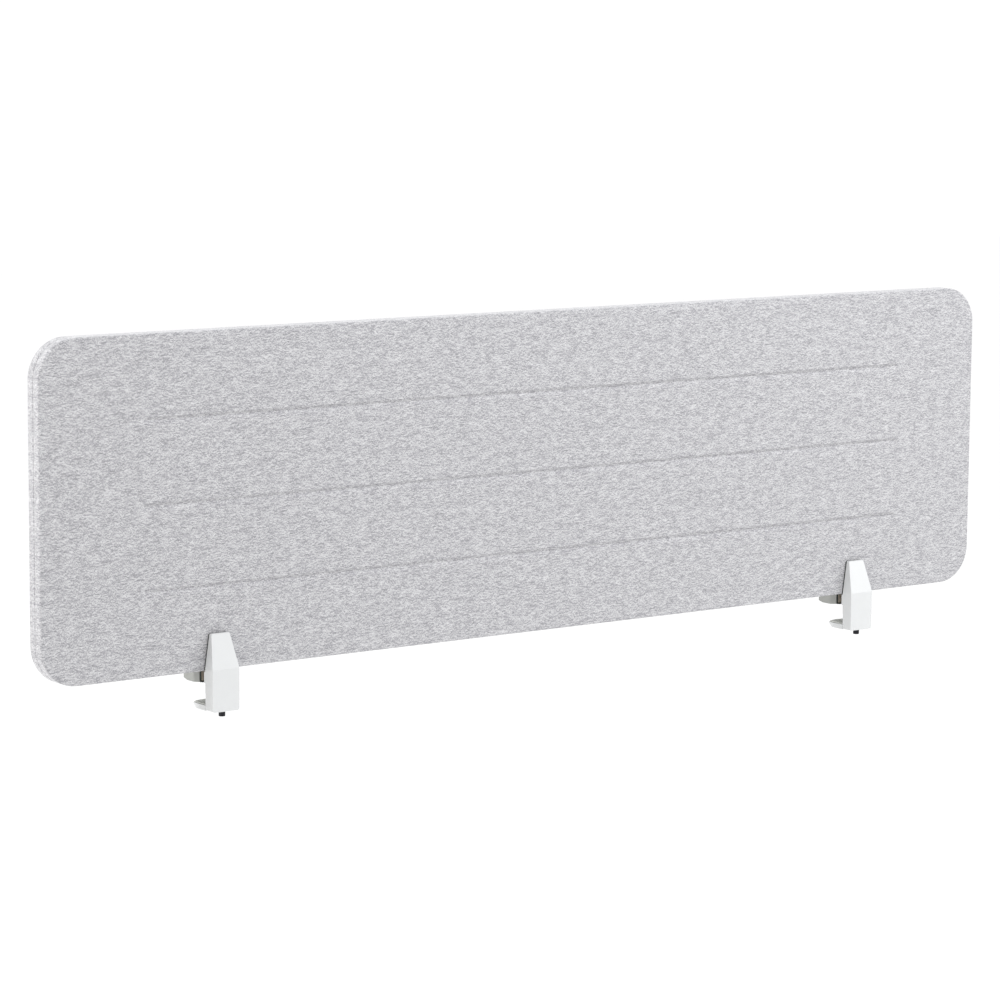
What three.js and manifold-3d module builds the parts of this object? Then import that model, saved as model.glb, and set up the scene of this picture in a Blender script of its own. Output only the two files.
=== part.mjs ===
// Desk privacy panel: a padded, fabric-covered board with three pressed grooves on each face, held on the
// edge of a desk by two clamps that slide along its lower edge.
// Millimetres, +Z up, X along the panel, -Y towards the panel's outer face, desk on the +Y side.
// Origin: middle of the panel's length, middle of its thickness, on the plane of the desk top.
import * as THREE from 'three';
import { mergeVertices } from 'three/addons/utils/BufferGeometryUtils.js';
import Module from 'manifold-3d';

const wasm = await Module();
wasm.setup();

// ---- driving dimensions -------------------------------------------------------------------------------

const GAP = 0.3;                 // clearance between neighbouring pieces

const PANEL_LENGTH = 1440;
const PANEL_HEIGHT = 400;
const PANEL_THICKNESS = 25;
const PANEL_LIFT = 16.8;         // lower edge of the panel above the desk top
const CORNER_RADIUS = 48;
const RIM_RADIUS = 2;            // rounding where the faces turn into the edge
const FABRIC = 1;                // cover thickness
const SHELL_WALL = 5;            // pressed felt shell under the cover

const GROOVE_END = 135;          // from the groove's end to the end of the panel
const GROOVE_WIDTH = 7;
const GROOVE_DEPTH = 1.6;
const GROOVE_LEVELS = [0.25, 0.5, 0.75];

const LEFT_CLAMP = -484;         // where each clamp stands along the panel
const RIGHT_CLAMP = 511;

const CLAMP_WIDTH = 37;
const CLAMP_TOP_WIDTH = 25.2;
const CLAMP_TOP = 61;            // above the desk top
const CREASE = 20;               // level where the front starts to lean back
const CLAMP_BOTTOM = -30.2;
const LEG_DEPTH = 16.6;
const TOP_DEPTH = 4.4;
const PAD = 1.5;                 // rubber facing between a jaw and the cover
const ARM_PAD = 1.2;

const CHANNEL_WIDTH = 30.6;      // hollow in the leg where the lower jaw runs
const FRONT_WALL = 3.5;
const CARRIAGE_HEIGHT = 16;
const ARM_THICKNESS = 6.4;
const ARM_CORNER = 12.5;         // where the arm's sides end, behind the panel's middle
const ARM_NOSE = 17;             // middle of the arm's nose
const ARM_UNDERCUT = 6.5;        // the nose is this much shorter underneath

const FOOT_FRONT = -1.3;
const FOOT_RIM = 0.4;            // the foot's rim stands this far above the desk
const HEEL = 2.4;                // underside of the foot at its front
const SOLE_FRONT = 12.5;         // the sole lies flat on the desk from here
const SOLE_BACK = 25.5;          // to here
const SOLE_INSET = 2;
const SOLE = 1.5;                // thickness of the sole
const LIP = 1.8;                 // thickness of its turned-up front
const HEEL_REACH = 2.2;          // how far the heel stands in front of the lip
const TOE_CORNER = 33.5;
const TOE_NOSE = 36.5;
const TOE_RISE = 2.4;
const BACK_CREASE = 23.5;        // foot of the rear jaw's sloping back
const LEDGE = 2.5;               // how far the body reaches under the panel
const LEDGE_BOTTOM = 2.5;
const EDGE_FACE_BOTTOM = -9.5;   // the desk's edge bears on the leg above this level
const RELIEF = 0.5;              // below it the leg stands back, behind the rising arm

const BOLT_SPREAD = 8.5;         // bolts left and right of the clamp's middle
const BOLT_LEVEL = 10.6;
const BOLT_RADIUS = 2.5;
const BOLT_HEAD_RADIUS = 4.1;
const BOLT_HEAD_HEIGHT = 5;
const SLEEVE_RADIUS = 4;
const BOLT_TIP = -23;
const SHOULDER_FRONT = 14.3;     // web of the rear jaw under the bolt heads
const SHOULDER_BACK = 17;

const SCREW_BACK = 9.5;          // jaw screw's axis behind the front plane
const SCREW_RADIUS = 3;
const SCREW_HEAD_RADIUS = 4;
const SCREW_HEAD_HEIGHT = 6.6;
const SCREW_TOP = 11;
const SCREW_REACH = 26;          // top of the tapped hole
const CLIP_RADIUS = 4.6;
const CLIP_THICKNESS = 1;
const HEX_RADIUS = 2.3;

const ROUND = 16;                // sides of a turned piece

// ---- sizes that follow --------------------------------------------------------------------------------

const HALF = PANEL_THICKNESS / 2;
const PANEL_MIDDLE = PANEL_LIFT + PANEL_HEIGHT / 2;
const INNER_FACE = HALF + GAP + PAD + GAP;       // jaw faces, either side of the panel
const FRONT = -(INNER_FACE + LEG_DEPTH);
const UNDER_PANEL = PANEL_LIFT - GAP;
const LIP_FRONT = FOOT_FRONT - GAP - LIP;
const HEEL_BOTTOM = HEEL - FOOT_RIM;
const CHANNEL_FRONT = FRONT + FRONT_WALL;
const RELIEVED = -(INNER_FACE + RELIEF);
const SCREW_Y = FRONT + SCREW_BACK;
const ARM_TOP = CLAMP_BOTTOM + ARM_THICKNESS;
const CARRIAGE_TOP = CLAMP_BOTTOM + CARRIAGE_HEIGHT;
const JAW_WIDTH = CHANNEL_WIDTH - 2 * GAP;

// ---- shapes -------------------------------------------------------------------------------------------

// Closed outline through [x, y, corner radius] points.
function outline(corners) {
  const shape = new THREE.Shape();
  const count = corners.length;
  corners.forEach(([x, y, radius], i) => {
    const here = new THREE.Vector2(x, y);
    const before = new THREE.Vector2(...corners[(i + count - 1) % count].slice(0, 2));
    const after = new THREE.Vector2(...corners[(i + 1) % count].slice(0, 2));
    const start = before.sub(here).normalize().multiplyScalar(radius).add(here);
    const end = after.sub(here).normalize().multiplyScalar(radius).add(here);
    if (i === 0) {
      shape.moveTo(start.x, start.y);
    } else {
      shape.lineTo(start.x, start.y);
    }
    if (radius > 0) {
      shape.quadraticCurveTo(x, y, end.x, end.y);
    }
  });
  shape.closePath();
  return shape;
}

function roundedRectangle(width, height, radius) {
  const x = width / 2;
  const y = height / 2;
  const shape = new THREE.Shape();
  shape.moveTo(-x + radius, -y);
  shape.lineTo(x - radius, -y);
  shape.absarc(x - radius, -y + radius, radius, -Math.PI / 2, 0);
  shape.lineTo(x, y - radius);
  shape.absarc(x - radius, y - radius, radius, 0, Math.PI / 2);
  shape.lineTo(-x + radius, y);
  shape.absarc(-x + radius, y - radius, radius, Math.PI / 2, Math.PI);
  shape.lineTo(-x, -y + radius);
  shape.absarc(-x + radius, -y + radius, radius, Math.PI, 1.5 * Math.PI);
  return shape;
}

function closed(geometry) {
  geometry.deleteAttribute('normal');
  geometry.deleteAttribute('uv');
  const merged = mergeVertices(geometry, 1e-4);
  const mesh = new wasm.Mesh({
    numProp: 3,
    vertProperties: new Float32Array(merged.attributes.position.array),
    triVerts: new Uint32Array(merged.index.array),
  });
  return new wasm.Manifold(mesh);
}

function geometryOf(solid) {
  const mesh = solid.getMesh();
  const geometry = new THREE.BufferGeometry();
  geometry.setAttribute('position', new THREE.BufferAttribute(mesh.vertProperties, 3));
  geometry.setIndex(new THREE.BufferAttribute(mesh.triVerts, 1));
  geometry.computeVertexNormals();
  return geometry;
}

function extrusion(shape, depth, curveSegments = 5) {
  return new THREE.ExtrudeGeometry(shape, { depth, bevelEnabled: false, curveSegments });
}

// Shape drawn in X and Z, running from y0 to y1.
function frontView(shape, y0, y1) {
  return closed(extrusion(shape, y1 - y0).rotateX(Math.PI / 2).translate(0, y1, 0));
}

// Shape drawn in Y and Z, running to half the width on either side.
function sideView(shape, width) {
  const turn = new THREE.Matrix4().makeBasis(
    new THREE.Vector3(0, 1, 0),
    new THREE.Vector3(0, 0, 1),
    new THREE.Vector3(1, 0, 0),
  );
  return closed(extrusion(shape, width).applyMatrix4(turn).translate(-width / 2, 0, 0));
}

// Shape drawn in X and Y, running from z0 to z1.
function planView(shape, z0, z1) {
  return closed(extrusion(shape, z1 - z0).translate(0, 0, z0));
}

function block(x0, x1, y0, y1, z0, z1) {
  const box = new THREE.BoxGeometry(x1 - x0, y1 - y0, z1 - z0);
  return closed(box.translate((x0 + x1) / 2, (y0 + y1) / 2, (z0 + z1) / 2));
}

function alongY(x, z, radius, y0, y1, sides = ROUND) {
  const rod = new THREE.CylinderGeometry(radius, radius, y1 - y0, sides);
  return closed(rod.translate(x, (y0 + y1) / 2, z));
}

function alongZ(x, y, radius, z0, z1, sides = ROUND) {
  const rod = new THREE.CylinderGeometry(radius, radius, z1 - z0, sides).rotateX(Math.PI / 2);
  return closed(rod.translate(x, y, (z0 + z1) / 2));
}

function join(first, ...others) {
  return others.reduce((sum, other) => sum.add(other), first);
}

function cut(first, ...others) {
  return others.reduce((rest, other) => rest.subtract(other), first);
}

// ---- the object's group -------------------------------------------------------------------------------

const finishes = {
  fabric: { color: 0xbfc1c6, roughness: 0.95, metalness: 0 },
  felt: { color: 0x9b9da1, roughness: 1, metalness: 0 },
  board: { color: 0xc9b48c, roughness: 0.9, metalness: 0 },
  white: { color: 0xe8e9e8, roughness: 0.4, metalness: 0.1 },
  rubber: { color: 0x26282a, roughness: 0.85, metalness: 0 },
  greyRubber: { color: 0x6d706c, roughness: 0.85, metalness: 0 },
  black: { color: 0x17181a, roughness: 0.45, metalness: 0.8 },
  steel: { color: 0x8d857d, roughness: 0.35, metalness: 1 },
};

const group = new THREE.Group();

function place(name, finish, solid, parent = group) {
  const mesh = new THREE.Mesh(geometryOf(solid), new THREE.MeshStandardMaterial(finishes[finish]));
  mesh.name = name;
  parent.add(mesh);
}

// ---- panel --------------------------------------------------------------------------------------------

// The whole padded slab, drawn in by the same amount all round.
function slab(inset) {
  const rim = Math.max(RIM_RADIUS - inset, 1);
  const shape = roundedRectangle(
    PANEL_LENGTH - 2 * (inset + rim),
    PANEL_HEIGHT - 2 * (inset + rim),
    CORNER_RADIUS - inset - rim,
  );
  const depth = PANEL_THICKNESS - 2 * (inset + rim);
  const rounding = { bevelEnabled: true, bevelThickness: rim, bevelSize: rim, bevelSegments: 2 };
  const geometry = new THREE.ExtrudeGeometry(shape, { depth, curveSegments: 7, ...rounding });
  return closed(geometry.rotateX(Math.PI / 2).translate(0, depth / 2, PANEL_MIDDLE));
}

// One groove cutter in the front face, its floor narrower than its mouth.
function groove(level, inset) {
  const slope = GROOVE_WIDTH / 4;
  const radius = GROOVE_WIDTH / 2 + inset;
  const length = PANEL_LENGTH - 2 * GROOVE_END + 2 * inset;
  const shape = roundedRectangle(length - 2 * slope, 2 * (radius - slope), radius - slope);
  const rounding = { bevelEnabled: true, bevelThickness: GROOVE_DEPTH, bevelSize: slope, bevelSegments: 2 };
  const geometry = new THREE.ExtrudeGeometry(shape, { depth: RIM_RADIUS, curveSegments: 4, ...rounding });
  const floor = -HALF + inset + GROOVE_DEPTH;
  geometry.rotateX(Math.PI / 2).translate(0, floor - GROOVE_DEPTH, PANEL_LIFT + level * PANEL_HEIGHT);
  return closed(geometry);
}

function frontHalf(inset, backPlane) {
  const half = slab(inset).intersect(
    block(-PANEL_LENGTH, PANEL_LENGTH, -PANEL_THICKNESS, backPlane, -PANEL_HEIGHT, 2 * PANEL_HEIGHT),
  );
  return cut(half, ...GROOVE_LEVELS.map((level) => groove(level, inset)));
}

function frontShell(outerInset, innerSolid) {
  return frontHalf(outerInset, -GAP / 2).subtract(innerSolid);
}

function toRear(solid) {
  return solid.mirror([0, 1, 0]);
}

const fabricHalf = frontShell(0, frontHalf(FABRIC, HALF / 2));
const feltHalf = frontShell(FABRIC + GAP, slab(FABRIC + GAP + SHELL_WALL));
place('front_fabric', 'fabric', fabricHalf);
place('rear_fabric', 'fabric', toRear(fabricHalf));
place('front_felt_shell', 'felt', feltHalf);
place('rear_felt_shell', 'felt', toRear(feltHalf));
place('core_board', 'board', slab(FABRIC + GAP + SHELL_WALL + GAP));

// ---- clamps -------------------------------------------------------------------------------------------

// Outline of a jaw's plate in X and Z: full width up to the crease, then drawn in to the top.
function jawOutline(bottom, bottomRadius, margin = 0) {
  const wide = CLAMP_WIDTH / 2 - margin;
  const narrow = CLAMP_TOP_WIDTH / 2 - margin;
  const top = CLAMP_TOP - margin;
  return outline([
    [-wide, bottom, bottomRadius],
    [wide, bottom, bottomRadius],
    [wide, CREASE, 0],
    [narrow, top, 2],
    [-narrow, top, 2],
    [-wide, CREASE, 0],
  ]);
}

function boltSides(make) {
  return [-BOLT_SPREAD, BOLT_SPREAD].map(make);
}

function clampBody() {
  const blank = frontView(jawOutline(CLAMP_BOTTOM, 3), FRONT, -INNER_FACE + LEDGE);
  const lean = outline([
    [FRONT - 1, CREASE, 0],
    [FRONT, CREASE, 0],
    [-INNER_FACE - TOP_DEPTH, CLAMP_TOP, 0],
    [-INNER_FACE - TOP_DEPTH, CLAMP_TOP + 1, 0],
    [FRONT - 1, CLAMP_TOP + 1, 0],
  ]);
  const side = CLAMP_WIDTH;
  return cut(
    blank,
    sideView(lean, 2 * side),
    block(-side, side, -INNER_FACE, 0, UNDER_PANEL, CLAMP_TOP + 1),
    block(-side, side, -INNER_FACE, 0, CLAMP_BOTTOM - 1, LEDGE_BOTTOM),
    block(-side, side, RELIEVED, 0, CLAMP_BOTTOM - 1, EDGE_FACE_BOTTOM),
    block(-CHANNEL_WIDTH / 2, CHANNEL_WIDTH / 2, CHANNEL_FRONT, 0, CLAMP_BOTTOM - 1, LEDGE_BOTTOM),
    alongZ(0, SCREW_Y, SCREW_RADIUS + GAP, LEDGE_BOTTOM - 1, SCREW_REACH),
    ...boltSides((x) => alongY(x, BOLT_LEVEL, BOLT_RADIUS + GAP, BOLT_TIP - 2 * GAP, 0)),
    ...boltSides((x) => alongY(x, BOLT_LEVEL, SLEEVE_RADIUS + GAP, -INNER_FACE + GAP, 0)),
  );
}

// Plan of an arm or a foot from y0 to its rounded nose, drawn in by a margin.
function nosePlan(y0, corner, nose, margin) {
  const x = CLAMP_WIDTH / 2 - margin;
  const shape = new THREE.Shape();
  shape.moveTo(-x, y0);
  shape.lineTo(x, y0);
  shape.lineTo(x, corner - margin);
  shape.quadraticCurveTo(0, 2 * nose - corner - margin, -x, corner - margin);
  shape.closePath();
  return shape;
}

function lowerJaw() {
  const y0 = RELIEVED + GAP;
  const shorter = nosePlan(y0, ARM_CORNER - ARM_UNDERCUT, ARM_NOSE - ARM_UNDERCUT, 0);
  const arm = wasm.Manifold.hull([
    planView(shorter, CLAMP_BOTTOM, CLAMP_BOTTOM + 0.1),
    planView(nosePlan(y0, ARM_CORNER, ARM_NOSE, 0), ARM_TOP - 1, ARM_TOP),
  ]);
  const side = JAW_WIDTH / 2;
  const front = CHANNEL_FRONT + GAP;
  const neck = block(-side, side, front, -INNER_FACE, CLAMP_BOTTOM, ARM_TOP);
  const carriage = block(-side, side, front, RELIEVED - GAP, CLAMP_BOTTOM, CARRIAGE_TOP);
  return cut(
    join(arm, neck, carriage),
    alongZ(0, SCREW_Y, SCREW_RADIUS + GAP, CLAMP_BOTTOM - 1, CARRIAGE_TOP + 1),
  );
}

// Grey rubber on top of the arm, a little inside its edges.
function armPad() {
  const bottom = ARM_TOP + GAP;
  return planView(nosePlan(-INNER_FACE + 1, ARM_CORNER, ARM_NOSE, 1), bottom, bottom + ARM_PAD);
}

function rearJaw() {
  const behind = TOE_NOSE + 1;
  const rise = (TOE_RISE - FOOT_RIM) / (TOE_CORNER - SOLE_BACK);
  const profile = outline([
    [FOOT_FRONT, HEEL, 1],
    [SOLE_FRONT, FOOT_RIM, 0],
    [SOLE_BACK, FOOT_RIM, 0],
    [behind, FOOT_RIM + rise * (behind - SOLE_BACK), 0],
    [behind, UNDER_PANEL - 4, 0],
    [behind - 9, UNDER_PANEL, 0],
    [BACK_CREASE, CREASE, 0],
    [INNER_FACE + TOP_DEPTH, CLAMP_TOP, 0],
    [INNER_FACE, CLAMP_TOP, 0],
    [INNER_FACE, UNDER_PANEL, 0],
    [FOOT_FRONT, UNDER_PANEL, 0],
  ]);
  const pocket = outline([
    [LIP_FRONT, -1, 0],
    [SOLE_BACK + GAP, -1, 0],
    [SOLE_BACK + GAP, SOLE + GAP, 0],
    [SOLE_FRONT, SOLE + GAP, 0],
    [LIP_FRONT, HEEL_BOTTOM + SOLE + 2 * GAP, 0],
  ]);
  const body = sideView(profile, CLAMP_WIDTH)
    .intersect(planView(nosePlan(FOOT_FRONT - 1, TOE_CORNER, TOE_NOSE, 0), 0, CLAMP_TOP + 1))
    .intersect(frontView(jawOutline(0, 0), FOOT_FRONT - 1, behind + 1));
  return cut(
    body,
    sideView(pocket, CLAMP_WIDTH - 2 * (SOLE_INSET - GAP)),
    ...boltSides((x) => alongY(x, BOLT_LEVEL, SLEEVE_RADIUS + GAP, FOOT_FRONT - 1, SHOULDER_FRONT)),
    ...boltSides((x) => alongY(x, BOLT_LEVEL, BOLT_RADIUS + GAP, 0, SHOULDER_BACK + 1)),
    ...boltSides((x) => alongY(x, BOLT_LEVEL, BOLT_HEAD_RADIUS + GAP, SHOULDER_BACK, behind + 1)),
  );
}

// Facing of a jaw: the same outline as the plate it lies on.
function jawPad() {
  return frontView(jawOutline(UNDER_PANEL + PAD, 1), -INNER_FACE + GAP, -INNER_FACE + GAP + PAD);
}

// Rubber sole let into the foot, with a short heel, turned up where the guide sleeves come through.
function deskPad() {
  const heel = LIP_FRONT - HEEL_REACH;
  const sole = outline([
    [heel, HEEL_BOTTOM, 0.7],
    [FOOT_FRONT, HEEL_BOTTOM, 0],
    [SOLE_FRONT, 0, 0],
    [SOLE_BACK, 0, 0],
    [SOLE_BACK, SOLE, 0],
    [SOLE_FRONT, SOLE, 0],
    [FOOT_FRONT, HEEL_BOTTOM + SOLE, 0],
    [heel, HEEL_BOTTOM + SOLE, 0.7],
  ]);
  const wide = CLAMP_WIDTH / 2 - 0.8;
  return cut(
    join(
      sideView(sole, CLAMP_WIDTH - 2 * SOLE_INSET),
      block(-wide, wide, LIP_FRONT, LIP_FRONT + LIP, HEEL_BOTTOM, UNDER_PANEL - 1),
    ),
    ...boltSides((x) => alongY(x, BOLT_LEVEL, SLEEVE_RADIUS + GAP, heel - 1, FOOT_FRONT)),
  );
}

function jawScrew() {
  const top = CLAMP_BOTTOM - GAP;
  const bottom = top - SCREW_HEAD_HEIGHT;
  const groove = CARRIAGE_TOP + GAP / 2;
  const points = [
    [0, bottom],
    [SCREW_HEAD_RADIUS - 0.5, bottom],
    [SCREW_HEAD_RADIUS, bottom + 0.5],
    [SCREW_HEAD_RADIUS, top],
    [SCREW_RADIUS, top],
    [SCREW_RADIUS, groove],
    [SCREW_RADIUS - 0.6, groove],
    [SCREW_RADIUS - 0.6, groove + CLIP_THICKNESS + GAP],
    [SCREW_RADIUS, groove + CLIP_THICKNESS + GAP],
    [SCREW_RADIUS, SCREW_TOP - 1],
    [SCREW_RADIUS - 1, SCREW_TOP],
    [0, SCREW_TOP],
  ];
  const turned = new THREE.LatheGeometry(points.map(([r, z]) => new THREE.Vector2(r, z)), ROUND);
  const screw = closed(turned.rotateX(Math.PI / 2).translate(0, SCREW_Y, 0));
  return cut(screw, alongZ(0, SCREW_Y, HEX_RADIUS, bottom - 1, bottom + 4, 6));
}

function screwClip() {
  const bottom = CARRIAGE_TOP + GAP;
  const ring = alongZ(0, SCREW_Y, CLIP_RADIUS, bottom, bottom + CLIP_THICKNESS);
  return cut(ring, alongZ(0, SCREW_Y, SCREW_RADIUS - 0.6 + GAP, bottom - 1, bottom + CLIP_THICKNESS + 1));
}

function panelBolt(x) {
  const seat = SHOULDER_BACK + GAP;
  const end = seat + BOLT_HEAD_HEIGHT;
  const bolt = join(
    alongY(x, BOLT_LEVEL, BOLT_RADIUS, BOLT_TIP, seat + 1),
    alongY(x, BOLT_LEVEL, BOLT_HEAD_RADIUS, seat, end),
  );
  return cut(bolt, alongY(x, BOLT_LEVEL, HEX_RADIUS, end - 3, end + 1, 6));
}

function guideSleeve(x) {
  const front = -INNER_FACE + 2 * GAP;
  const end = SHOULDER_FRONT - GAP;
  return cut(
    alongY(x, BOLT_LEVEL, SLEEVE_RADIUS, front, end),
    alongY(x, BOLT_LEVEL, BOLT_RADIUS + GAP, front - 1, end + 1),
  );
}

function clamp(side, x) {
  const unit = new THREE.Group();
  unit.position.x = x;
  place(`${side}_clamp_body`, 'white', clampBody(), unit);
  place(`${side}_front_pad`, 'rubber', jawPad(), unit);
  place(`${side}_rear_jaw`, 'white', rearJaw(), unit);
  place(`${side}_rear_pad`, 'rubber', toRear(jawPad()), unit);
  place(`${side}_desk_pad`, 'rubber', deskPad(), unit);
  place(`${side}_guide_sleeve_a`, 'steel', guideSleeve(-BOLT_SPREAD), unit);
  place(`${side}_guide_sleeve_b`, 'steel', guideSleeve(BOLT_SPREAD), unit);
  place(`${side}_panel_bolt_a`, 'black', panelBolt(-BOLT_SPREAD), unit);
  place(`${side}_panel_bolt_b`, 'black', panelBolt(BOLT_SPREAD), unit);
  place(`${side}_lower_jaw`, 'white', lowerJaw(), unit);
  place(`${side}_jaw_pad`, 'greyRubber', armPad(), unit);
  place(`${side}_jaw_screw`, 'black', jawScrew(), unit);
  place(`${side}_screw_clip`, 'steel', screwClip(), unit);
  group.add(unit);
}

clamp('left', LEFT_CLAMP);
clamp('right', RIGHT_CLAMP);

export default group;
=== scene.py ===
"""Looks of the desk privacy panel: a pressed, fabric-covered panel on two white desk clamps.

Metres, in the CAD frame: X along the panel, -Y towards its outer face, +Z up, desk top at z = 0.
"""

from math import cos, hypot, pi, radians, sin

import bmesh
import bpy
from mathutils import Matrix, Vector, noise


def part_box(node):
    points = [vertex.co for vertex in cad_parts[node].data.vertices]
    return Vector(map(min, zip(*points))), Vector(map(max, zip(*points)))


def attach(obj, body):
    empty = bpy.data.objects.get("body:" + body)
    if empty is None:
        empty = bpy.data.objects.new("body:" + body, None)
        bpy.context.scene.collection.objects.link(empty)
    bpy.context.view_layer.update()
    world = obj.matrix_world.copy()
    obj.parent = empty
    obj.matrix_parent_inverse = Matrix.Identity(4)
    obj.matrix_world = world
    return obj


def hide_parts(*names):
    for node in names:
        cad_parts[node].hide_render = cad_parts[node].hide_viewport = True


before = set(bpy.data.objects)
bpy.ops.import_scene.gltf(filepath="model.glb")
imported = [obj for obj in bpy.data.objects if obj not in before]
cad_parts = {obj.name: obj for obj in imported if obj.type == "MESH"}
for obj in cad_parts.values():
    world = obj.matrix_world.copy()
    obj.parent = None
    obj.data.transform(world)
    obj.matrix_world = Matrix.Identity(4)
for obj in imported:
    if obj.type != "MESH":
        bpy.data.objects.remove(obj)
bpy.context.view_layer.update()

MM = 0.001
SIDES = ("left", "right")

# ---- sizes read from the frame ---------------------------------------------------------------------

FRONT_LOW, FRONT_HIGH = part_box("front_fabric")
REAR_LOW, REAR_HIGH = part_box("rear_fabric")
PANEL_X = (FRONT_LOW.x, FRONT_HIGH.x)
PANEL_Z = (FRONT_LOW.z, FRONT_HIGH.z)
FACE_Y = REAR_HIGH.y                  # half the panel's thickness
PANEL_MIDDLE = (PANEL_Z[0] + PANEL_Z[1]) / 2
PANEL_HEIGHT = PANEL_Z[1] - PANEL_Z[0]

# ---- sizes of the cover ----------------------------------------------------------------------------

CORNER = 48 * MM
RIM = 2 * MM                          # rounding from the face to the edge
SEAM_ROLL = 1.6 * MM                  # each half of the cover turns in at the seam on this radius
TUCK = 1.0 * MM                       # flat edge of the cloth, inside the seam
ARC_STEPS = 20
COARSE = 7 * MM                       # spacing of the cover's mesh
FINE = 0.55 * MM                      # the same at the grooves

GROOVE_END = 135 * MM
GROOVE_WIDTH = 8.5 * MM
GROOVE_DEPTH = 2.2 * MM
GROOVE_TAPER = 6 * MM
GROOVE_LEVELS = (0.25, 0.5, 0.75)

STITCH_PITCH = 3.4 * MM
STITCH_RADIUS = 0.24 * MM
STITCH_REACH = 1.25 * MM              # from the seam to each end of a stitch
STITCH_SLANT = 0.55 * MM              # how far each end leans along the seam
STITCH_STEPS = 6
STITCH_SIDES = 6

# ---- sizes of the clamps' details ------------------------------------------------------------------

CASTING_ROUND = 1.0 * MM
PAD_ROUND = 0.3 * MM
JAW_PAD_ROUND = 0.35 * MM
SLEEVE_ROUND = 0.15 * MM

SCREW_SIDES = 48                      # a multiple of 6, so that the socket gets its six corners
RING_PITCH = 0.9 * MM                 # spacing of the rings drawn on a shank in place of a thread
JAW_SCREW_SHANK = 2.98 * MM
PANEL_BOLT_SHANK = 2.48 * MM
PANEL_BOLT_HEAD = 5 * MM

PLATE_THICK = 0.45 * MM
PLATE_BEVEL = 0.1 * MM
PLATE_AHEAD = 2.1 * MM                # from the front of the rear jaw to the back of the plate
PLATE_INSET = 1.1 * MM                # from each side of the rubber
PLATE_ABOVE_RUBBER = 3.6 * MM         # from the bottom of the rubber to the bottom of the plate
PLATE_OVER_SLEEVE = 0.7 * MM
SLEEVE_GAP = 0.35 * MM
PLATE_HOLE_SIDES = 40


# ---- nodes of a material ---------------------------------------------------------------------------

class Shader:
    """A node material whose nodes are made by short calls; a number or a socket goes into any input."""

    def __init__(self, name, **surface):
        self.material = bpy.data.materials.new(name)
        self.material.use_nodes = True
        self.tree = self.material.node_tree
        self.surface = self.tree.nodes["Principled BSDF"]
        for key, value in surface.items():
            self.surface.inputs[key.replace("_", " ")].default_value = value

    def plug(self, socket, value):
        if isinstance(value, bpy.types.NodeSocket):
            self.tree.links.new(value, socket)
        else:
            socket.default_value = value

    def math(self, operation, *values):
        node = self.tree.nodes.new("ShaderNodeMath")
        node.operation = operation
        for socket, value in zip(node.inputs, values):
            self.plug(socket, value)
        return node.outputs[0]

    def vector(self, x, y, z):
        node = self.tree.nodes.new("ShaderNodeCombineXYZ")
        for socket, value in zip(node.inputs, (x, y, z)):
            self.plug(socket, value)
        return node.outputs[0]

    def split(self, vector):
        node = self.tree.nodes.new("ShaderNodeSeparateXYZ")
        self.plug(node.inputs[0], vector)
        return node.outputs

    def place(self):
        return self.tree.nodes.new("ShaderNodeTexCoord").outputs["Object"]

    def attribute(self, name):
        node = self.tree.nodes.new("ShaderNodeAttribute")
        node.attribute_name = name
        return node.outputs["Vector"]

    def noise(self, vector, scale, detail=2.0, rough=0.5):
        node = self.tree.nodes.new("ShaderNodeTexNoise")
        self.plug(node.inputs["Vector"], vector)
        node.inputs["Scale"].default_value = scale
        node.inputs["Detail"].default_value = detail
        node.inputs["Roughness"].default_value = rough
        return node.outputs["Fac"]

    def spread(self, value, low, high, to_low=0.0, to_high=1.0):
        node = self.tree.nodes.new("ShaderNodeMapRange")
        node.interpolation_type = "SMOOTHSTEP"
        for socket, number in zip(node.inputs, (value, low, high, to_low, to_high)):
            self.plug(socket, number)
        return node.outputs[0]

    def mix(self, share, first, second):
        node = self.tree.nodes.new("ShaderNodeMix")
        node.data_type = "RGBA"
        self.plug(node.inputs["Factor"], share)
        for socket, colour in ((node.inputs[6], first), (node.inputs[7], second)):
            self.plug(socket, (*colour, 1.0) if isinstance(colour, tuple) else colour)
        return node.outputs[2]

    def bump(self, height, distance, strength=1.0):
        node = self.tree.nodes.new("ShaderNodeBump")
        node.inputs["Strength"].default_value = strength
        node.inputs["Distance"].default_value = distance
        self.plug(node.inputs["Height"], height)
        self.plug(self.surface.inputs["Normal"], node.outputs[0])

    def colour(self, value):
        self.plug(self.surface.inputs["Base Color"], value)

    def roughness(self, value):
        self.plug(self.surface.inputs["Roughness"], value)


YARN_PALE = (0.515, 0.512, 0.521)
YARN_DARK = (0.240, 0.238, 0.252)
YARN_FLECK = (0.168, 0.166, 0.180)
ROW_PITCH = 1.15                      # millimetres, as are the lengths in heather()
TWIST_PITCH = 1.3
ROW_DRIFT = 0.6


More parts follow.
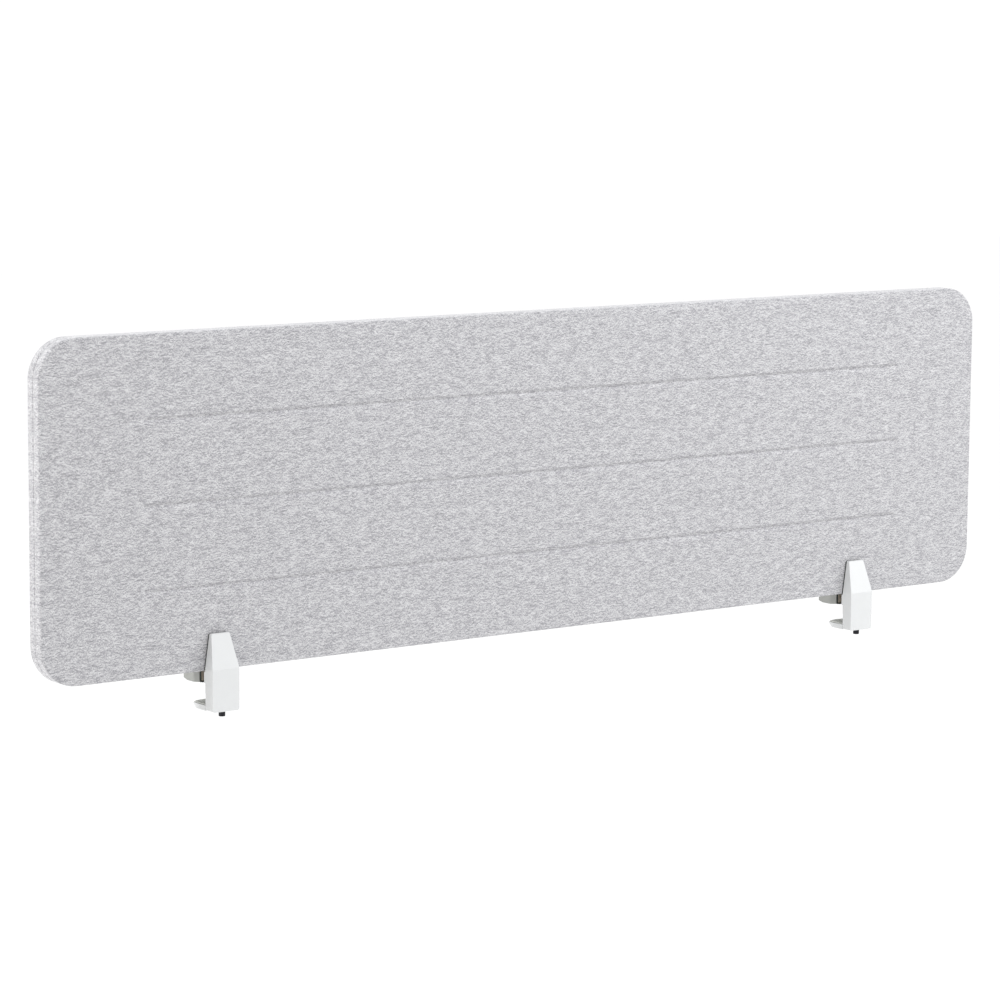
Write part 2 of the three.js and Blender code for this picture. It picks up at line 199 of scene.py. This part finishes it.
def heather():
    """Melange cloth: rows of yarn along the panel, each dyed in short light and dark lengths."""
    s = Shader("heather_cloth", Roughness=0.92, Sheen_Weight=0.35, Sheen_Roughness=0.45)
    s.surface.inputs["Specular IOR Level"].default_value = 0.12
    along, across, _ = s.split(s.attribute("cloth"))
    u = s.math("MULTIPLY", along, 1 / MM)
    v = s.math("MULTIPLY", across, 1 / MM)
    drift = s.noise(s.vector(s.math("MULTIPLY", u, 0.05), s.math("MULTIPLY", v, 0.08), 0.0), 1.0, 1.0)
    v = s.math("ADD", v, s.math("MULTIPLY", drift, ROW_DRIFT))

    def rows(pitch):
        return s.math("FLOOR", s.math("DIVIDE", v, pitch))

    def streak(row, length, seed):
        place = s.vector(s.math("DIVIDE", u, length), s.math("MULTIPLY", row, 7.31), seed)
        return s.noise(place, 1.0, 1.5)

    def streaks(pitch, length, seed):
        """Lengths of yarn that also stand out from the row above."""
        row = rows(pitch)
        above = streak(s.math("ADD", row, 1.0), length, seed)
        return s.math("SUBTRACT", streak(row, length, seed), s.math("MULTIPLY", above, 0.3))

    fine = streaks(ROW_PITCH, 1.5, 3.1)
    flecks = streaks(1.30, 4.0, 11.7)
    long_flecks = streaks(1.45, 9.0, 23.9)
    cloud = s.noise(s.vector(s.math("DIVIDE", u, 16.0), s.math("DIVIDE", v, 8.0), 5.0), 1.0, 2.0)
    body = s.math("ADD", s.math("MULTIPLY", fine, 0.50), s.math("MULTIPLY", flecks, 0.34))
    body = s.math("ADD", body, s.math("MULTIPLY", cloud, 0.16))
    pale = s.spread(body, 0.25, 0.52)
    base = s.mix(pale, YARN_DARK, YARN_PALE)
    dark = s.spread(long_flecks, 0.42, 0.54, 0.0, 0.5)
    base = s.mix(dark, base, YARN_FLECK)
    s.colour(base)

    row_shape = s.math("ABSOLUTE", s.math("SINE", s.math("MULTIPLY", v, pi / ROW_PITCH)))
    turn = s.math("MULTIPLY", rows(ROW_PITCH), 2.1)
    twist = s.math("SINE", s.math("ADD", s.math("MULTIPLY", u, pi / TWIST_PITCH), turn))
    twist = s.math("ABSOLUTE", twist)
    height = s.math("ADD", s.math("MULTIPLY", row_shape, 0.6), s.math("MULTIPLY", twist, 0.4))
    s.bump(s.math("ADD", height, s.math("MULTIPLY", fine, 0.3)), 0.12 * MM, 0.6)
    return s.material


def felt():
    s = Shader("pressed_felt", Roughness=1.0, Sheen_Weight=0.2)
    hair = s.noise(s.place(), 900.0, 4.0, 0.7)
    s.colour(s.mix(hair, (0.26, 0.265, 0.28), (0.42, 0.43, 0.44)))
    s.bump(hair, 0.4 * MM, 0.7)
    return s.material


def board():
    s = Shader("core_board", Roughness=0.85)
    x, y, z = s.split(s.place())
    grain = s.noise(s.vector(x, s.math("MULTIPLY", y, 4.0), z), 260.0, 4.0, 0.65)
    s.colour(s.mix(grain, (0.42, 0.32, 0.19), (0.60, 0.49, 0.33)))
    s.bump(grain, 0.2 * MM, 0.5)
    return s.material


def powder_coat(name, dark, light):
    s = Shader(name, Roughness=0.38)
    s.surface.inputs["Specular IOR Level"].default_value = 0.4
    peel = s.noise(s.place(), 1400.0, 2.0, 0.5)
    cloud = s.noise(s.place(), 60.0, 3.0, 0.5)
    s.colour(s.mix(cloud, dark, light))
    s.roughness(s.spread(cloud, 0.3, 0.7, 0.34, 0.44))
    s.bump(peel, 0.05 * MM, 0.35)
    return s.material


def rubber(name, dark, light):
    s = Shader(name, Roughness=0.8)
    s.surface.inputs["Specular IOR Level"].default_value = 0.3
    grain = s.noise(s.place(), 1800.0, 3.0, 0.6)
    cloud = s.noise(s.place(), 90.0, 2.0)
    s.colour(s.mix(cloud, dark, light))
    s.roughness(s.spread(grain, 0.3, 0.7, 0.7, 0.92))
    s.bump(grain, 0.03 * MM, 0.4)
    return s.material


def black_oxide():
    s = Shader("blackened_screw_steel", Metallic=0.85)
    x, y, z = s.split(s.place())
    turned = s.noise(s.vector(x, y, s.math("MULTIPLY", z, 6.0)), 900.0, 3.0)
    wear = s.noise(s.place(), 320.0, 4.0, 0.7)
    s.colour(s.mix(s.spread(wear, 0.55, 0.75), (0.018, 0.018, 0.021), (0.06, 0.06, 0.065)))
    s.roughness(s.spread(turned, 0.3, 0.7, 0.32, 0.52))
    s.bump(turned, 0.04 * MM, 0.4)
    return s.material


def sleeve_steel():
    s = Shader("sleeve_steel", Metallic=1.0)
    x, y, z = s.split(s.place())
    drawn = s.noise(s.vector(s.math("MULTIPLY", x, 5.0), y, s.math("MULTIPLY", z, 5.0)), 500.0, 3.0)
    s.colour(s.mix(drawn, (0.36, 0.33, 0.30), (0.52, 0.48, 0.44)))
    s.roughness(s.spread(drawn, 0.3, 0.7, 0.28, 0.45))
    s.bump(drawn, 0.03 * MM, 0.4)
    return s.material


def plate_steel():
    s = Shader("plate_painted_warm_reflection", Metallic=0.35)
    x, y, z = s.split(s.place())
    rolled = s.noise(s.vector(s.math("MULTIPLY", x, 0.2), y, s.math("MULTIPLY", z, 3.0)), 700.0, 3.0)
    # The plate's brown is a painted warm reflection of the white casting on a face in shade under the panel.
    s.colour(s.mix(rolled, (0.29, 0.25, 0.20), (0.40, 0.35, 0.29)))
    s.roughness(s.spread(rolled, 0.3, 0.7, 0.42, 0.6))
    s.bump(rolled, 0.03 * MM, 0.4)
    return s.material


def thread():
    s = Shader("seam_thread", Roughness=0.9, Sheen_Weight=0.3)
    hair = s.noise(s.place(), 2500.0, 3.0)
    s.colour(s.mix(hair, (0.22, 0.22, 0.24), (0.40, 0.40, 0.42)))
    s.bump(hair, 0.05 * MM, 0.5)
    return s.material


def floor_paper():
    s = Shader("floor_paper", Roughness=0.95)
    s.surface.inputs["Specular IOR Level"].default_value = 0.1
    fibre = s.noise(s.place(), 40.0, 3.0)
    s.colour(s.mix(fibre, (0.94, 0.94, 0.94), (0.965, 0.965, 0.965)))
    return s.material


CLOTH = heather()
FELT = felt()
BOARD = board()
WHITE = powder_coat("white_powder_coat", (0.505, 0.512, 0.514), (0.532, 0.540, 0.543))
# The rear jaw's coat is a light grey made darker still: painted shade for the shade under the panel, which
# these lamps do not give.
FOOT_GREY_PAINTED_SHADE = powder_coat("foot_coat_painted_shade", (0.240, 0.244, 0.231), (0.262, 0.266, 0.252))
BLACK_RUBBER = rubber("black_rubber", (0.012, 0.014, 0.013), (0.03, 0.034, 0.031))
GREY_RUBBER = rubber("grey_rubber", (0.45, 0.457, 0.43), (0.49, 0.497, 0.47))
BLACK_STEEL = black_oxide()
STEEL = sleeve_steel()
PLATE = plate_steel()
THREAD = thread()


# ---- pieces ----------------------------------------------------------------------------------------

def add_piece(name, mesh, material, smooth=True):
    piece = bpy.data.objects.new(name, mesh)
    bpy.context.collection.objects.link(piece)
    mesh.materials.append(material)
    if smooth:
        mesh.polygons.foreach_set("use_smooth", [True] * len(mesh.polygons))
    return piece


def clear_of(value, marks, reach):
    return all(abs(value - mark) > reach for mark in marks)


def levels(start, end, marks, reach):
    """Places from start to end: even and coarse, and fine within reach of each mark."""
    count = round((end - start) / COARSE)
    places = [start + (end - start) * i / count for i in range(count + 1)]
    inner = [p for p in places[1:-1] if clear_of(p, marks, reach)]
    steps = round(reach / FINE)
    for mark in marks:
        inner += [mark + reach * i / steps for i in range(-steps, steps + 1)]
    return sorted([start, end] + inner)


def groove_depth(x, z):
    """How deep the cover is pressed in at a point of its face."""
    half = (PANEL_X[1] - PANEL_X[0]) / 2 - GROOVE_END
    middle = (PANEL_X[0] + PANEL_X[1]) / 2
    past = abs(x - middle) - (half - GROOVE_WIDTH / 2)
    fade = min(1.0, max(0.0, (half - abs(x - middle)) / GROOVE_TAPER))
    depth = 0.0
    for level in GROOVE_LEVELS:
        dz = z - (PANEL_Z[0] + level * PANEL_HEIGHT)
        away = hypot(max(past, 0.0), dz) / (GROOVE_WIDTH / 2)
        if away < 1:
            depth += (0.5 + 0.5 * cos(pi * away)) ** 0.8 * (0.35 + 0.65 * fade ** 0.5)
    return depth * GROOVE_DEPTH


def relief(x, z):
    """Slight unevenness of the pressed face."""
    wave = noise.noise(Vector((x * 9, z * 14, 2.7)))
    return 0.12 * MM * wave


def rim_profile():
    """(inset from the outline, depth behind the face, cloth run past the face's edge) down to the seam."""
    steps = 8
    points = []
    for i in range(1, steps + 1):
        a = pi / 2 * i / steps
        points.append((RIM * (1 - sin(a)), RIM * (1 - cos(a)), RIM * a))
    side = FACE_Y - RIM - SEAM_ROLL
    run = RIM * pi / 2
    for i in (1, 2):
        points.append((0.0, RIM + side * i / 2, run + side * i / 2))
    for i in range(1, steps + 1):
        b = pi / 2 * i / steps
        depth = FACE_Y - SEAM_ROLL * (1 - sin(b))
        points.append((SEAM_ROLL * (1 - cos(b)), depth, run + side + SEAM_ROLL * b))
    points.append((SEAM_ROLL + TUCK, FACE_Y, run + side + SEAM_ROLL * pi / 2 + TUCK))
    return points


def perimeter(columns, rows):
    """Stations round the panel: (point on the inner rectangle, outward direction, its grid place)."""
    left, right = columns[0], columns[-1]
    bottom, top = rows[0], rows[-1]
    last_column, last_row = len(columns) - 1, len(rows) - 1
    sides = (
        ([(x, bottom, i, 0) for i, x in enumerate(columns)], -pi / 2),
        ([(right, z, last_column, j) for j, z in enumerate(rows)], 0.0),
        ([(x, top, i, last_row) for i, x in reversed(list(enumerate(columns)))], pi / 2),
        ([(left, z, 0, j) for j, z in reversed(list(enumerate(rows)))], pi),
    )
    stations = []
    for line, angle in sides:
        for x, z, i, j in line:
            stations.append(((x, z), (cos(angle), sin(angle)), (i, j)))
        x, z, i, j = line[-1]
        for k in range(1, ARC_STEPS):
            a = angle + pi / 2 * k / ARC_STEPS
            stations.append(((x, z), (cos(a), sin(a)), (i, j)))
    return stations


def panel_grid():
    reach_z = GROOVE_WIDTH / 2 + FINE
    ends = [PANEL_X[0] + GROOVE_END, PANEL_X[1] - GROOVE_END]
    columns = levels(PANEL_X[0] + CORNER, PANEL_X[1] - CORNER, ends, GROOVE_TAPER)
    marks = [PANEL_Z[0] + level * PANEL_HEIGHT for level in GROOVE_LEVELS]
    rows = levels(PANEL_Z[0] + CORNER, PANEL_Z[1] - CORNER, marks, reach_z)
    return columns, rows


def cover_half(name, side):
    """One half of the cover, from the middle of its face over the rim and into the seam."""
    columns, rows = panel_grid()
    points, cloth, faces = [], [], []

    def add(x, z, depth, flat_x, flat_z):
        points.append((x, side * (FACE_Y - depth), z))
        cloth.append((flat_x, flat_z, 0.0))
        return len(points) - 1

    grid = [[add(x, z, groove_depth(x, z) + relief(x, z), x, z) for z in rows] for x in columns]
    for i in range(len(columns) - 1):
        for j in range(len(rows) - 1):
            faces.append((grid[i][j], grid[i + 1][j], grid[i + 1][j + 1], grid[i][j + 1]))

    stations = perimeter(columns, rows)
    ring = [grid[i][j] for _, _, (i, j) in stations]
    flat_steps = 6
    band = [CORNER - (CORNER - RIM) * k / flat_steps for k in range(1, flat_steps + 1)]
    profile = [(inset, 0.0, RIM - inset) for inset in band] + rim_profile()
    for inset, depth, run in profile:
        following = []
        for (x, z), (nx, nz), _ in stations:
            out = CORNER - inset
            flat = CORNER - RIM + run
            px, pz = x + nx * out, z + nz * out
            bow = relief(px, pz) if depth == 0.0 else 0.0
            following.append(add(px, pz, depth + bow, x + nx * flat, z + nz * flat))
        for k, here in enumerate(ring):
            after = (k + 1) % len(ring)
            corners = [here, following[k], following[after], ring[after]]
            faces.append(tuple(dict.fromkeys(corners)))
        ring = following

    if side > 0:
        faces = [tuple(reversed(face)) for face in faces]
    mesh = bpy.data.meshes.new(name)
    mesh.from_pydata(points, [], faces)
    layer = mesh.attributes.new("cloth", "FLOAT_VECTOR", "POINT")
    layer.data.foreach_set("vector", [value for point in cloth for value in point])
    return add_piece(name, mesh, CLOTH)


def make_covers():
    for name, side in (("front", -1), ("rear", 1)):
        cover = cover_half(f"{name}_cover", side)
        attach(cover, "panel")
        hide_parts(f"{name}_fabric")


def seam_place(run, depth):
    """Point and outward direction a given way round the seam, inset by depth."""
    left, right = PANEL_X[0] + CORNER, PANEL_X[1] - CORNER
    bottom, top = PANEL_Z[0] + CORNER, PANEL_Z[1] - CORNER
    arc = pi / 2 * CORNER
    legs = (
        ((left, bottom), (1, 0), right - left, -pi / 2),
        ((right, bottom), (0, 1), top - bottom, 0.0),
        ((right, top), (-1, 0), right - left, pi / 2),
        ((left, top), (0, -1), top - bottom, pi),
    )
    for (x, z), (dx, dz), length, angle in legs:
        if run < length + arc:
            straight = min(run, length)
            turn = angle + max(0.0, run - length) / CORNER
            nx, nz = cos(turn), sin(turn)
            outward = Vector((nx, 0, nz))
            return Vector((x + dx * straight, 0, z + dz * straight)) + (CORNER - depth) * outward, outward
        run -= length + arc
    return seam_place(0.0, depth)


def stitch_ring(number, t):
    """Points round one stitch at t, which runs from -1 to 1 across the seam."""
    dive = 1.1 * MM if abs(t) > 0.99 else 0.75 * MM
    run = (number + 0.5) * STITCH_PITCH + STITCH_SLANT * t
    centre, outward = seam_place(run, 0.26 * MM + dive * t * t)
    centre.y = STITCH_REACH * t
    along = outward.cross(Vector((0, 1, 0)))
    thick = STITCH_RADIUS * (1 - 0.75 * abs(t) ** 4)
    turns = [2 * pi * k / STITCH_SIDES for k in range(STITCH_SIDES)]
    return [centre + outward * thick * cos(a) + along * thick * sin(a) for a in turns]


def stitch_faces(start):
    """Faces of the stitch whose first point is number start."""
    faces = []
    for i in range(STITCH_STEPS):
        low = start + i * STITCH_SIDES
        high = low + STITCH_SIDES
        for k in range(STITCH_SIDES):
            after = (k + 1) % STITCH_SIDES
            faces.append((low + k, low + after, high + after, high + k))
    last = start + STITCH_STEPS * STITCH_SIDES
    faces.append(tuple(start + k for k in reversed(range(STITCH_SIDES))))
    faces.append(tuple(last + k for k in range(STITCH_SIDES)))
    return faces


def make_seam_stitches():
    """Short slanting stitches that draw the two halves of the cover together."""
    around = 2 * (PANEL_X[1] - PANEL_X[0] + PANEL_HEIGHT) - 8 * CORNER + 2 * pi * CORNER
    points, faces = [], []
    for number in range(round(around / STITCH_PITCH)):
        faces += stitch_faces(len(points))
        for i in range(STITCH_STEPS + 1):
            points += stitch_ring(number, i / STITCH_STEPS * 2 - 1)
    mesh = bpy.data.meshes.new("seam_stitches")
    mesh.from_pydata(points, [], faces)
    stitches = add_piece("seam_stitches", mesh, THREAD)
    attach(stitches, "panel")


# ---- castings, rubber and hardware -----------------------------------------------------------------

def soften(node, width, segments, material):
    """A CAD node with its own material and rounded edges."""
    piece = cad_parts[node]
    piece.data.materials.clear()
    piece.data.materials.append(material)
    weld = piece.modifiers.new("weld", "WELD")
    weld.merge_threshold = 0.005 * MM
    flat = piece.modifiers.new("flat", "DECIMATE")
    flat.decimate_type = "DISSOLVE"
    flat.angle_limit = radians(1)
    bevel = piece.modifiers.new("bevel", "BEVEL")
    bevel.width = width
    bevel.segments = segments
    bevel.limit_method = "ANGLE"
    bevel.angle_limit = radians(28)
    bevel.harden_normals = True
    bevel.use_clamp_overlap = True


def ring_mesh(name, sections, sides, axis, centre):
    """A turned piece from (radius, height) sections; a radius of 0 closes an end."""
    bm = bmesh.new()
    rings = []
    for radius, height in sections:
        if radius == 0:
            rings.append([bm.verts.new((0, 0, height))])
            continue
        turn = [2 * pi * k / sides for k in range(sides)]
        rings.append([bm.verts.new((radius * cos(a), radius * sin(a), height)) for a in turn])
    for low, high in zip(rings, rings[1:]):
        for k in range(sides):
            after = (k + 1) % sides
            corners = [low[k % len(low)], low[after % len(low)], high[after % len(high)], high[k % len(high)]]
            corners = list(dict.fromkeys(corners))
            if len(corners) > 2:
                bm.faces.new(corners)
    bmesh.ops.recalc_face_normals(bm, faces=bm.faces)
    turn = Vector((0, 0, 1)).rotation_difference(Vector(axis)).to_matrix().to_4x4()
    bm.transform(Matrix.Translation(centre) @ turn)
    mesh = bpy.data.meshes.new(name)
    bm.to_mesh(mesh)
    bm.free()
    return mesh


def shank_sections(shank, length):
    """Sections of a ringed shank, from its closed far end up to the underside of the head."""
    sections = [(0, -length), (shank * 0.7, -length), (shank, -length + 0.6 * MM)]
    for i in range(int((length - 1.5 * MM) / RING_PITCH)):
        start = -length + 0.8 * MM + i * RING_PITCH
        sections.append((shank, start))
        sections.append((shank * 0.86, start + 0.45 * RING_PITCH))
        sections.append((shank, start + 0.9 * RING_PITCH))
    return sections + [(shank, 0)]


def head_sections(outer, top, depth, across):
    """Sections of a head with rounded edges and a socket, which is still round here."""
    chamfer = 0.12 * outer
    return [
        (outer - 0.2 * MM, 0),
        (outer, 0.2 * MM),
        (outer, top - chamfer),
        (outer - 0.35 * chamfer, top - 0.3 * chamfer),
        (outer - chamfer, top),
        (across * 1.12, top),
        (across, top - 0.15 * MM),
        (across, top - depth),
        (0, top - depth - 0.4 * across),
    ]


def turn_of(point):
    """Angle of a point round the screw, from 0 to a full turn."""
    return Vector((1, 0)).angle_signed(Vector((point.x, -point.y)), 0.0) % (2 * pi)


def hexagon(angle, across):
    """Radius of a hexagon at an angle, its corners at the given distance."""
    part = (angle % (pi / 3)) - pi / 6
    return across * cos(pi / 6) / cos(part)


def cut_hexagon(mesh, centre, axis, head, across):
    """Draw the points of the round socket in to a hexagon."""
    turned = Vector((0, 0, 1)).rotation_difference(Vector(axis)).to_matrix()
    upright = turned.inverted()
    for vertex in mesh.vertices:
        local = upright @ (vertex.co - centre)
        radius = hypot(local.x, local.y)
        if local.z > head * 0.5 and 0.1 * across < radius < across * 1.05:
            wanted = hexagon(turn_of(local), across)
            local.x *= wanted / radius
            local.y *= wanted / radius
            vertex.co = centre + turned @ local


def socket_screw(name, centre, axis, outer, shank, head, length, replaced):
    """Socket-head screw: its head reaches head beyond the centre along the axis, its shank length behind."""
    across = 0.52 * outer
    sections = shank_sections(shank, length) + head_sections(outer, head, 0.45 * head, across)
    mesh = ring_mesh(name, sections, SCREW_SIDES, axis, centre)
    cut_hexagon(mesh, centre, axis, head, across)
    piece = add_piece(name, mesh, BLACK_STEEL, smooth=False)
    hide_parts(replaced)
    return piece


def run_to_edge(start, low, high, step):
    """How far to go from start, at step for each unit of the way, to meet low or high."""
    if abs(step) < 1e-6:
        return 1.0
    return abs(((high if step > 0 else low) - start) / step)


def plate_layer(bm, centre, radius, x_span, z_span, y, grow):
    """Points round a sleeve's hole and round the plate's edge; grow widens the one and narrows the other."""
    hole, rim = [], []
    for k in range(PLATE_HOLE_SIDES):
        a = 2 * pi * k / PLATE_HOLE_SIDES
        dx, dz = cos(a), sin(a)
        out = radius + grow
        reach = min(run_to_edge(centre.x, *x_span, dx), run_to_edge(centre.z, *z_span, dz)) - grow
        hole.append(bm.verts.new((centre.x + out * dx, y, centre.z + out * dz)))
        rim.append(bm.verts.new((centre.x + reach * dx, y, centre.z + reach * dz)))
    return hole, rim


def plate_half(bm, sleeve, x_span, z_span, y):
    """Half of the plate, round one guide sleeve; its front edges are bevelled."""
    sleeve_low, sleeve_high = sleeve
    centre = (sleeve_low + sleeve_high) / 2
    radius = (sleeve_high.x - sleeve_low.x) / 2 + SLEEVE_GAP
    depths = ((0.0, 0.0), (PLATE_THICK - PLATE_BEVEL, 0.0), (PLATE_THICK, PLATE_BEVEL))
    layers = [plate_layer(bm, centre, radius, x_span, z_span, y - depth, grow) for depth, grow in depths]
    for k in range(PLATE_HOLE_SIDES):
        after = (k + 1) % PLATE_HOLE_SIDES
        for (hole_a, rim_a), (hole_b, rim_b) in zip(layers, layers[1:]):
            bm.faces.new((hole_a[k], hole_a[after], hole_b[after], hole_b[k]))
            bm.faces.new((rim_a[k], rim_b[k], rim_b[after], rim_a[after]))
        for hole, rim in (layers[0], layers[-1]):
            bm.faces.new((hole[k], rim[k], rim[after], hole[after]))


def make_sleeve_plate(side):
    """Thin metal plate on the front of the turned-up rubber, with holes for both guide sleeves; its brown
    colour is a painted warm reflection of the white casting on a face in shade.
    """
    low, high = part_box(f"{side}_desk_pad")
    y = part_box(f"{side}_rear_jaw")[0].y - PLATE_AHEAD
    middle_x = (low.x + high.x) / 2
    half = (high.x - low.x) / 2 - PLATE_INSET
    sleeves = [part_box(f"{side}_guide_sleeve_{letter}") for letter in "ab"]
    z_span = (low.z + PLATE_ABOVE_RUBBER, sleeves[0][1].z + PLATE_OVER_SLEEVE)
    bm = bmesh.new()
    for sleeve in sleeves:
        on_right = sleeve[0].x + sleeve[1].x > 2 * middle_x
        x_span = (middle_x, middle_x + half) if on_right else (middle_x - half, middle_x)
        plate_half(bm, sleeve, x_span, z_span, y)
    bmesh.ops.recalc_face_normals(bm, faces=bm.faces)
    mesh = bpy.data.meshes.new(f"{side}_sleeve_plate")
    bm.to_mesh(mesh)
    bm.free()
    plate = add_piece(f"{side}_sleeve_plate", mesh, PLATE, smooth=False)
    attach(plate, f"{side}_back")


def soften_clamp(side):
    # The rear jaw gets the grey coat whose extra darkness is painted shade from the panel above it.
    for part, coat in (("clamp_body", WHITE), ("lower_jaw", WHITE), ("rear_jaw", FOOT_GREY_PAINTED_SHADE)):
        soften(f"{side}_{part}", CASTING_ROUND, 4, coat)
    for part in ("front_pad", "rear_pad", "desk_pad"):
        soften(f"{side}_{part}", PAD_ROUND, 3, BLACK_RUBBER)
    soften(f"{side}_jaw_pad", JAW_PAD_ROUND, 3, GREY_RUBBER)
    for part in ("guide_sleeve_a", "guide_sleeve_b", "screw_clip"):
        soften(f"{side}_{part}", SLEEVE_ROUND, 2, STEEL)


def make_jaw_screw(side):
    low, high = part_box(f"{side}_jaw_screw")
    head_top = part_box(f"{side}_lower_jaw")[0].z - 0.3 * MM
    centre = Vector(((low.x + high.x) / 2, (low.y + high.y) / 2, head_top))
    screw = socket_screw(
        f"{side}_jaw_screw_turned", centre, (0, 0, -1), (high.x - low.x) / 2, JAW_SCREW_SHANK,
        head_top - low.z, high.z - head_top, f"{side}_jaw_screw")
    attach(screw, f"{side}_screw")


def make_panel_bolt(side, letter):
    low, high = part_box(f"{side}_panel_bolt_{letter}")
    centre = Vector(((low.x + high.x) / 2, high.y - PANEL_BOLT_HEAD, (low.z + high.z) / 2))
    bolt = socket_screw(
        f"{side}_panel_bolt_{letter}_turned", centre, (0, 1, 0), (high.x - low.x) / 2, PANEL_BOLT_SHANK,
        PANEL_BOLT_HEAD, centre.y - low.y, f"{side}_panel_bolt_{letter}")
    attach(bolt, f"{side}_bolt_{letter}")


def make_clamp(side):
    make_sleeve_plate(side)
    soften_clamp(side)
    make_jaw_screw(side)
    for letter in "ab":
        make_panel_bolt(side, letter)


def finish_inner_pieces():
    for name in ("front", "rear"):
        soften(f"{name}_felt_shell", 0.1 * MM, 1, FELT)
    soften("core_board", 0.3 * MM, 2, BOARD)


# ---- studio ----------------------------------------------------------------------------------------

CAMERA_AZIMUTH = 36.454
CAMERA_ELEVATION = 7.870
CAMERA_ROLL = 0.423
CAMERA_DISTANCE = 4.5054
CAMERA_LENS = 131.56
CAMERA_AIM = Vector((-0.0740, -FACE_Y, PANEL_Z[0] + 0.1696))
DESK_HEIGHT = 0.72
FLOOR_HALF = 14.0
FLOOR_STEPS = 8
WORLD_STRENGTH = 1.06
COOL_WHITE = (0.97, 0.985, 1.0)
WARM_WHITE = (1.0, 0.95, 0.86)


def back_towards_camera():
    a, e = radians(CAMERA_AZIMUTH), radians(CAMERA_ELEVATION)
    return Vector((-sin(a) * cos(e), -cos(a) * cos(e), sin(e)))


def make_camera():
    back = back_towards_camera()
    right = (-back).cross(Vector((0, 0, 1))).normalized()
    up = right.cross(-back)
    roll = radians(CAMERA_ROLL)
    right, up = cos(roll) * right + sin(roll) * up, cos(roll) * up - sin(roll) * right
    data = bpy.data.cameras.new("camera")
    data.lens = CAMERA_LENS
    data.sensor_width = 36
    data.clip_end = 100
    camera = bpy.data.objects.new("camera", data)
    bpy.context.collection.objects.link(camera)
    turn = Matrix((right, up, back)).transposed().to_4x4()
    camera.matrix_world = Matrix.Translation(CAMERA_AIM + back * CAMERA_DISTANCE) @ turn
    bpy.context.scene.camera = camera


def add_light(name, place, target, size, power, colour=(1, 1, 1)):
    data = bpy.data.lights.new(name, "AREA")
    data.shape = "RECTANGLE"
    data.size, data.size_y = size
    data.energy = power
    data.color = colour
    light = bpy.data.objects.new(name, data)
    bpy.context.collection.objects.link(light)
    away = Vector(place) - Vector(target)
    light.matrix_world = Matrix.Translation(place) @ away.to_track_quat("Z", "Y").to_matrix().to_4x4()


def make_floor():
    places = [-FLOOR_HALF + 2 * FLOOR_HALF * i / FLOOR_STEPS for i in range(FLOOR_STEPS + 1)]
    bm = bmesh.new()
    grid = [[bm.verts.new((x, y, -DESK_HEIGHT)) for y in places] for x in places]
    for i in range(FLOOR_STEPS):
        for j in range(FLOOR_STEPS):
            bm.faces.new((grid[i][j], grid[i + 1][j], grid[i + 1][j + 1], grid[i][j + 1]))
    mesh = bpy.data.meshes.new("floor")
    bm.to_mesh(mesh)
    bm.free()
    add_piece("floor", mesh, floor_paper())


def make_studio():
    make_floor()
    world = bpy.data.worlds.new("studio")
    world.use_nodes = True
    world.node_tree.nodes["Background"].inputs["Color"].default_value = (1, 1, 1, 1)
    world.node_tree.nodes["Background"].inputs["Strength"].default_value = WORLD_STRENGTH
    bpy.context.scene.world = world
    add_light("overhead", place=(0.45, -1.3, 2.5), target=(0.1, 0, 0.2), size=(2.0, 0.5), power=47,
              colour=COOL_WHITE)
    add_light("right", place=(1.7, -1.5, 0.9), target=(0.6, 0, 0.2), size=(0.9, 0.9), power=12)
    add_light("left", place=(-2.2, 0.16, 0.9), target=(-0.72, 0, 0.25), size=(0.2, 0.8), power=20)
    add_light("low", place=(-2.6, -0.6, -0.25), target=(-0.5, 0, 0), size=(0.6, 0.4), power=4.5,
              colour=WARM_WHITE)
    scene = bpy.context.scene
    scene.view_settings.view_transform = "Standard"
    scene.view_settings.look = "None"


make_camera()
make_studio()
make_covers()
make_seam_stitches()
finish_inner_pieces()
for clamp_side in SIDES:
    make_clamp(clamp_side)
